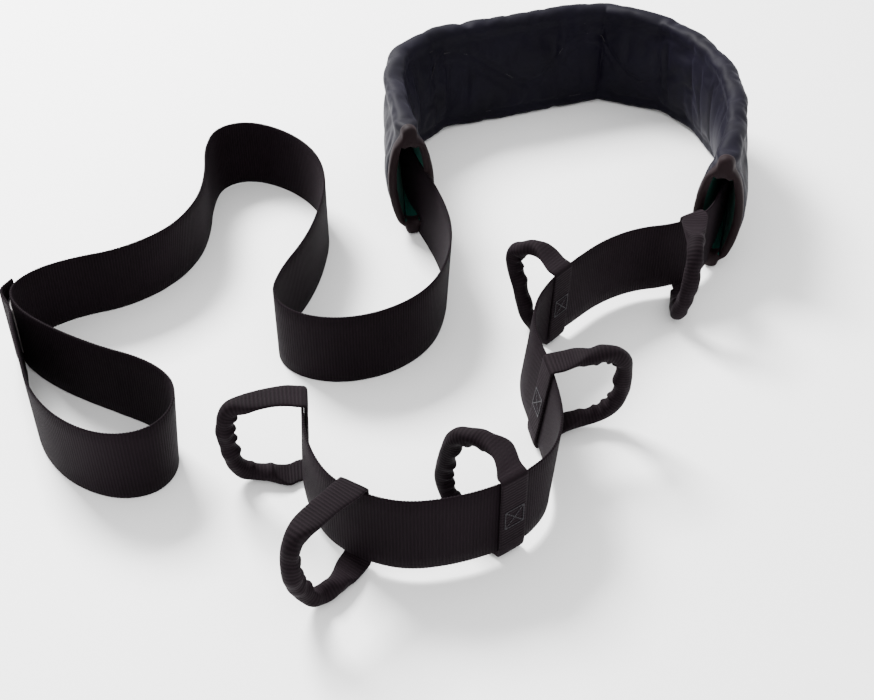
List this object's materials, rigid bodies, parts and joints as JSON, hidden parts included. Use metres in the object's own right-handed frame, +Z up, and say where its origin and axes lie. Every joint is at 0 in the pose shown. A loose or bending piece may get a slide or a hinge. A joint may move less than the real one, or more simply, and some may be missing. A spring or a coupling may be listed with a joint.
{
  "type": "gait belt",
  "caption": "Padded gait belt laid on its edge: a long webbing strap through a quilted back sleeve, with webbing grab handles along one end and a hook-and-loop tail.",
  "frame": {"origin": "bottom centre of the whole belt as laid, on the surface it rests on", "axes": "+Z up, +Y towards the padded sleeve, +X towards the handle side; the strap stands on its long edge"},
  "size_m": [0.7246, 0.8072, 0.125],
  "materials": {
    "strap_webbing": "ribbed woven webbing, dull",
    "handle_webbing": "coarse ribbed webbing, dull",
    "handle_core": "twisted cord, rough",
    "sleeve_cover": "close woven nylon, soft sheen",
    "sleeve_lining": "smooth lining cloth, dull",
    "sleeve_wadding": "soft foam wadding, matt",
    "binding_tape": "folded tape, dull",
    "thread": "sewing thread, dull",
    "hook_tape": "fine plastic hooks on tape",
    "loop_tape": "soft loop pile"
  },
  "bodies": {
    "belt": {"handle_1_band": "handle_webbing", "handle_1_stitching": "thread", "handle_2_band": "handle_webbing", "handle_2_stitching": "thread", "handle_3_band": "handle_webbing", "handle_3_stitching": "thread", "handle_4_band": "handle_webbing", "handle_4_stitching": "thread", "handle_5_band": "handle_webbing", "handle_5_stitching": "thread", "handle_6_band": "handle_webbing", "handle_6_stitching": "thread", "sleeve_bottom_filler": "sleeve_wadding", "sleeve_bottom_roll": "sleeve_cover", "sleeve_edge_seams": "thread", "sleeve_inner_cover": "sleeve_cover", "sleeve_inner_lining": "sleeve_lining", "sleeve_inner_wadding": "sleeve_wadding", "sleeve_left_binding": "binding_tape", "sleeve_outer_cover": "sleeve_cover", "sleeve_outer_lining": "sleeve_lining", "sleeve_outer_wadding": "sleeve_wadding", "sleeve_quilting": "thread", "sleeve_right_binding": "binding_tape", "sleeve_top_filler": "sleeve_wadding", "sleeve_top_roll": "sleeve_cover", "strap_handle_front": "strap_webbing", "strap_handle_mouth": "strap_webbing", "strap_handle_side": "strap_webbing", "strap_in_sleeve": "strap_webbing", "strap_tail_exit": "strap_webbing", "strap_tail_far_bend": "strap_webbing", "strap_tail_fold": "strap_webbing", "strap_tail_front_bend": "strap_webbing", "strap_tail_front_run": "strap_webbing", "strap_tail_inner_run": "strap_webbing", "strap_tail_upper_run": "strap_webbing", "tail_hook_tape": "hook_tape"},
    "handle_1": {"handle_1_grip": "handle_webbing", "handle_1_core": "handle_core"},
    "handle_2": {"handle_2_grip": "handle_webbing", "handle_2_core": "handle_core"},
    "handle_3": {"handle_3_grip": "handle_webbing", "handle_3_core": "handle_core"},
    "handle_4": {"handle_4_grip": "handle_webbing", "handle_4_core": "handle_core"},
    "handle_5": {"handle_5_grip": "handle_webbing", "handle_5_core": "handle_core"},
    "handle_6": {"handle_6_grip": "handle_webbing", "handle_6_core": "handle_core"},
    "tail_end": {"strap_tail_flap": "strap_webbing", "tail_loop_tape": "loop_tape", "tail_end_stitching": "thread"}
  },
  "joints": [
    {"name": "handle_1_swing", "type": "hinge", "parent": "belt", "child": "handle_1", "pos_m": [0.27909, 0.01567, 0.0455], "axis": [0, 0, 1], "range_deg": [-50, 90]},
    {"name": "handle_2_swing", "type": "hinge", "parent": "belt", "child": "handle_2", "pos_m": [0.14529, -0.06953, 0.0455], "axis": [0, 0, 1], "range_deg": [-75, 75]},
    {"name": "handle_3_swing", "type": "hinge", "parent": "belt", "child": "handle_3", "pos_m": [0.12359, -0.20433, 0.0455], "axis": [0, 0, 1], "range_deg": [-70, 75]},
    {"name": "handle_4_swing", "type": "hinge", "parent": "belt", "child": "handle_4", "pos_m": [0.09099, -0.33223, 0.0455], "axis": [0, 0, 1], "range_deg": [-60, 45]},
    {"name": "handle_5_swing", "type": "hinge", "parent": "belt", "child": "handle_5", "pos_m": [-0.02911, -0.34253, 0.0455], "axis": [0, 0, 1], "range_deg": [-45, 95]},
    {"name": "handle_6_swing", "type": "hinge", "parent": "belt", "child": "handle_6", "pos_m": [-0.07651, -0.24433, 0.0455], "axis": [0, 0, 1], "range_deg": [-80, 50]},
    {"name": "tail_end_peel", "type": "hinge", "parent": "belt", "child": "tail_end", "pos_m": [-0.34041, -0.12783, 0.0375], "axis": [0, 0, 1], "range_deg": [0, 70]}
  ]
}
